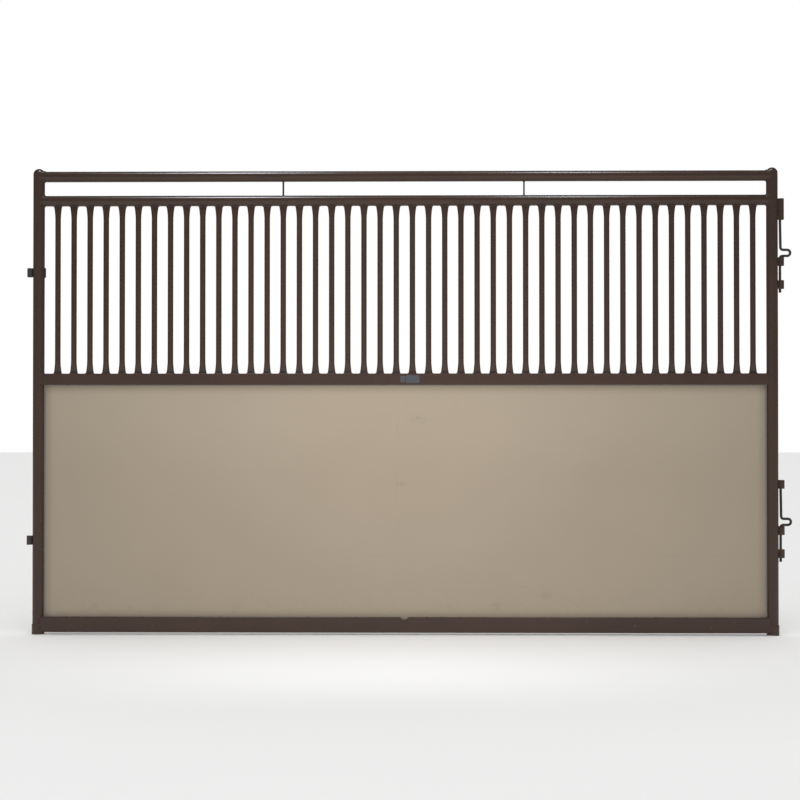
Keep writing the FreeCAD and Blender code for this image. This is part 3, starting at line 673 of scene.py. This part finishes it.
def runBead(mesh, length, size, place, puddle=bead["puddle"], sides=bead["sides"]):
    # an open bead along Z with tapered ends
    before = len(mesh.verts)
    verts = bmesh.ops.create_circle(mesh, cap_ends=True, segments=sides, radius=size)["verts"]
    face = verts[0].link_faces[0]
    steps = max(4, round(length / puddle * bead["ringsPerPuddle"]))
    for index in range(steps):
        face = pushFace(mesh, face, (0, 0, length / steps))
    mesh.verts.ensure_lookup_table()
    fresh = mesh.verts[before:]
    for vert in fresh:
        fromEnd = min(vert.co.z, length - vert.co.z)
        taper = min(1.0, bead["tip"] + fromEnd / (bead["tipLength"] * size))
        scale = swell(vert.co.z, puddle) * taper
        vert.co.x, vert.co.y = vert.co.x * scale, vert.co.y * scale
    layBead(fresh, place)


def finishBeads(name, mesh, material):
    newPiece(name, mesh, material, "frame", (), bead["sharp"])


# Each weld's size is half the bead's thickness
railWeld = {"size": 0.0030, "outside": 0.0008, "intoPost": 0.0005}
foldWeld = {"size": 0.0026, "ends": 0.003, "intoPost": 0.0008, "inset": 0.97, "acrossEnds": 0.002}
footWeld = {"size": 0.0022, "outside": 0.0004, "below": 0.0006}
sleeveWeld = {"size": 0.0034, "ends": 0.002, "depth": 0.0085, "spread": 1.12}
eyeWeld = {"size": 0.0026, "outside": 0.0012, "from": 12, "to": 150}  # degrees round the post
spacerWeld = {"size": 0.0019, "length": 0.022, "beside": 0.0006, "outside": 0.0004}
barWeld = {"size": 0.0036, "reach": 0.0225, "depth": 0.0029, "stray": 0.0015,
           "puddle": 0.0105, "sides": 5}  # coarser, because there are many


def makeRailWelds():
    # rings at the round rails' ends, beads down the folded rails' corners and over the mid rail
    mesh = bmesh.new()
    for node in ("top_rail", "grille_top_rail"):
        low, high, middle = sizes(node)
        for side in (-1, 1):
            ringBead(mesh, (high.z - low.z) / 2 + railWeld["outside"], railWeld["size"],
                     lambda co: (side * (saddleX(co.y) - co.x - railWeld["intoPost"]),
                                 co.y, co.z + middle.z))
    ends, inset = foldWeld["ends"], foldWeld["inset"]
    for node in ("mid_rail", "bottom_rail"):
        low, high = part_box(node)
        for side in (-1, 1):
            for y in (low.y, high.y):
                x = saddleX(y) + foldWeld["intoPost"]
                runBead(mesh, high.z - low.z - 2 * ends, foldWeld["size"],
                        lambda co: (side * (x - co.x), y * inset + co.y, low.z + ends + co.z))
    low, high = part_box("mid_rail")
    first = low.y + foldWeld["acrossEnds"]
    for side in (-1, 1):
        runBead(mesh, high.y - low.y - 2 * foldWeld["acrossEnds"], foldWeld["size"],
                lambda co: (side * (saddleX(first + co.z) - co.x), first + co.z, high.z + co.y))
    finishBeads("railWelds", mesh, brownCoat)


def makeFootWelds():
    # a ring where each foot cup meets its post
    mesh = bmesh.new()
    for node in ("hinge_post_foot", "latch_post_foot"):
        low, high, middle = sizes(node)
        ringBead(mesh, postRadius + footWeld["outside"], footWeld["size"],
                 lambda co: (middle.x + co.y, co.z, high.z - footWeld["below"] + co.x))
    finishBeads("footWelds", mesh, brownCoat)


def makeSleeveWelds():
    # two upright beads in the groove between each sleeve and the post
    mesh = bmesh.new()
    depth, ends = sleeveWeld["depth"], sleeveWeld["ends"]
    postSide = postX + math.sqrt(postRadius ** 2 - depth ** 2)
    for level in ("upper", "lower"):
        for kind in ("keeper", "top", "bottom"):
            low, high, middle = sizes("%s_%s_sleeve" % (level, kind))
            sleeveSide = middle.x - math.sqrt(((high.x - low.x) / 2) ** 2 - depth ** 2)
            x = (sleeveSide + postSide) / 2
            for y in (-depth, depth):
                runBead(mesh, high.z - low.z - 2 * ends, sleeveWeld["size"],
                        lambda co: (x + co.x, y * sleeveWeld["spread"] + co.y, low.z + ends + co.z))
    finishBeads("sleeveWelds", mesh, brownCoat)


def makeEyeWelds():
    # beads over and under each strap, laid round the back of the post
    mesh = bmesh.new()
    reach = postRadius + eyeWeld["outside"]
    last = math.radians(eyeWeld["to"])
    for level, start in eye["starts"].items():
        low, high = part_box(level + "_hinge_eye")
        first = math.radians(start + eyeWeld["from"])
        for z in (low.z, high.z):
            runBead(mesh, (last - first) * reach, eyeWeld["size"],
                    lambda co: (-postX + (reach + co.x) * math.cos(first + co.z / reach),
                                (reach + co.x) * math.sin(first + co.z / reach), z + co.y))
    finishBeads("eyeWelds", mesh, lugCoat)


def makeSpacerWelds():
    # beads on both sides of each spacer's ends, laid over the rails' round
    mesh = bmesh.new()
    length, beside = spacerWeld["length"], spacerWeld["beside"]
    for node in ("rail_spacer_hinge_side", "rail_spacer_latch_side"):
        low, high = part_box(node)
        for railNode, way in (("top_rail", -1), ("grille_top_rail", 1)):
            railLow, railHigh, railMiddle = sizes(railNode)
            radius = (railHigh.z - railLow.z) / 2
            for x in (low.x - beside, high.x + beside):
                def overRail(co):
                    y = co.z - length / 2
                    rise = math.sqrt(radius ** 2 - y ** 2) + spacerWeld["outside"]
                    return x + co.x, y, railMiddle.z + way * rise + co.y
                runBead(mesh, length, spacerWeld["size"], overRail)
    finishBeads("spacerWelds", mesh, brownCoat)


def makeBarWelds():
    # beads front and back at the flat ends of the bars
    mesh = bmesh.new()
    reach, stray = barWeld["reach"], barWeld["stray"]
    for x in barPlaces:
        for z in (barBottom, barTop):
            for y in (-barWeld["depth"], barWeld["depth"]):
                shift = chance.uniform(-stray, stray)
                runBead(mesh, 2 * reach, barWeld["size"],
                        lambda co: (x - reach + shift + co.z, y + co.x, z + co.y),
                        barWeld["puddle"], barWeld["sides"])
    finishBeads("barWelds", mesh, brownCoat)


makeRailWelds()
makeFootWelds()
makeSleeveWelds()
makeEyeWelds()
makeSpacerWelds()
makeBarWelds()
print("welds made")


# Folded and pressed pieces: the frame's own shapes with their bends shaded smooth

folded = {
    # piece: node, finish and slot
    "midRail": ("mid_rail", brownCoat, "frame_paint"),
    "bottomRail": ("bottom_rail", brownCoat, "frame_paint"),
    "hingePostFoot": ("hinge_post_foot", brownCoat, "frame_paint"),
    "latchPostFoot": ("latch_post_foot", brownCoat, "frame_paint"),
    "railSpacerHingeSide": ("rail_spacer_hinge_side", brownCoat, "frame_paint"),
    "railSpacerLatchSide": ("rail_spacer_latch_side", brownCoat, "frame_paint"),
    "hingeEdgeChannel": ("hinge_edge_channel", zincPaint, "channel"),
    "latchEdgeChannel": ("latch_edge_channel", zincPaint, "channel"),
    "topEdgeChannel": ("top_edge_channel", litTopZincPaint, "channel"),
}
foldSharp = 30  # degrees; gentler bends are shaded smooth


def makeFolded(name, node, material, slot):
    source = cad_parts[node]
    mesh = bmesh.new()
    mesh.from_mesh(source.data)
    bmesh.ops.transform(mesh, matrix=source.matrix_world, verts=mesh.verts[:])
    bmesh.ops.remove_doubles(mesh, verts=mesh.verts[:], dist=0.00001)
    newPiece(name, mesh, material, "frame", [node], foldSharp)


for name, settings in folded.items():
    makeFolded(name, *settings)
print("folded pieces made")


# Stage, light and camera

stage = {
    "floor": (0.92, 0.92, 0.915, 1), "cloud": (0.94, 0.94, 0.935, 1), "cloudScale": 0.8,
    "floorRadius": 60, "floorRoughness": 0.8,
    # the sky as the camera sees it, as light, and as gloss mirrors it
    "seen": 1.0, "fill": 0.98, "mirrored": 0.05,
}


def makeFloor():
    mesh = bmesh.new()
    bmesh.ops.create_circle(mesh, cap_ends=True, segments=96, radius=stage["floorRadius"])
    paint = newPaint("pale floor")
    colour = paint.mix(paint.noise(stage["cloudScale"], 2.0), stage["floor"], stage["cloud"])
    material = paint.shade(Base_Color=colour, Roughness=stage["floorRoughness"])
    data = bpy.data.meshes.new("floor")
    mesh.to_mesh(data)
    mesh.free()
    data.materials.append(material)
    floor = bpy.data.objects.new("floor", data)
    scene.collection.objects.link(floor)


def makeSky():
    scene.world = bpy.data.worlds.new("studio")
    paint = Paint(scene.world)
    mirrored = paint.node("LightPath", output="Is Glossy Ray")
    seen = paint.node("LightPath", output="Is Camera Ray")
    strength = paint.node("Mix", values={"Factor": mirrored, "A": stage["fill"], "B": stage["mirrored"]})
    strength = paint.node("Mix", values={"Factor": seen, "A": strength, "B": stage["seen"]})
    light = paint.node("Background", values={"Color": (1, 1, 1, 1), "Strength": strength})
    paint.node("OutputWorld", values={"Surface": light})


lamps = {
    # place, aim, width, length, watts, spread in degrees, and whether it is only for gloss to mirror
    "stripLeft": ((-1.19, -0.95, 5.5), (-1.19, -0.3, 2.2), 0.68, 0.45, 140, 180, True),
    "stripRight": ((1.04, -0.95, 5.5), (1.04, -0.3, 2.2), 0.46, 0.45, 70, 180, True),
    "front": ((-0.05, -3.4, 1.5), (-0.05, 0, 0.95), 1.8, 0.8, 14, 80, False),
}
lampTints = {True: (0.86, 0.92, 1.0), False: (1.0, 1.0, 1.0)}  # the mirrored lamps are cooler


def makeLamp(name, place, aim, width, length, watts, spread, mirrored):
    data = bpy.data.lights.new(name, "AREA")
    data.shape = "RECTANGLE"
    data.size = width
    data.size_y = length
    data.energy = watts
    data.spread = math.radians(spread)
    data.color = lampTints[mirrored]
    lamp = bpy.data.objects.new(name, data)
    lamp.location = place
    lamp.rotation_euler = (Vector(aim) - Vector(place)).to_track_quat("-Z", "Y").to_euler()
    lamp.visible_glossy = mirrored
    lamp.visible_diffuse = not mirrored
    lamp.visible_camera = False
    scene.collection.objects.link(lamp)


shot = {
    "x": 0.122, "distance": 9.0, "z": 1.025, "yaw": 0.912, "pitch": 0.756,
    "lens": 82.93, "sensor": 36, "farClip": 300,
}


def makeCamera():
    data = bpy.data.cameras.new("camera")
    data.lens = shot["lens"]
    data.sensor_width = shot["sensor"]
    data.clip_end = shot["farClip"]
    camera = bpy.data.objects.new("camera", data)
    camera.location = (shot["x"], -shot["distance"], shot["z"])
    camera.rotation_euler = (math.radians(90 + shot["pitch"]), 0, math.radians(shot["yaw"]))
    scene.collection.objects.link(camera)
    scene.camera = camera


makeFloor()
makeSky()
for name, settings in lamps.items():
    makeLamp(name, *settings)
makeCamera()
scene.view_settings.view_transform = "Standard"
print("stage set")
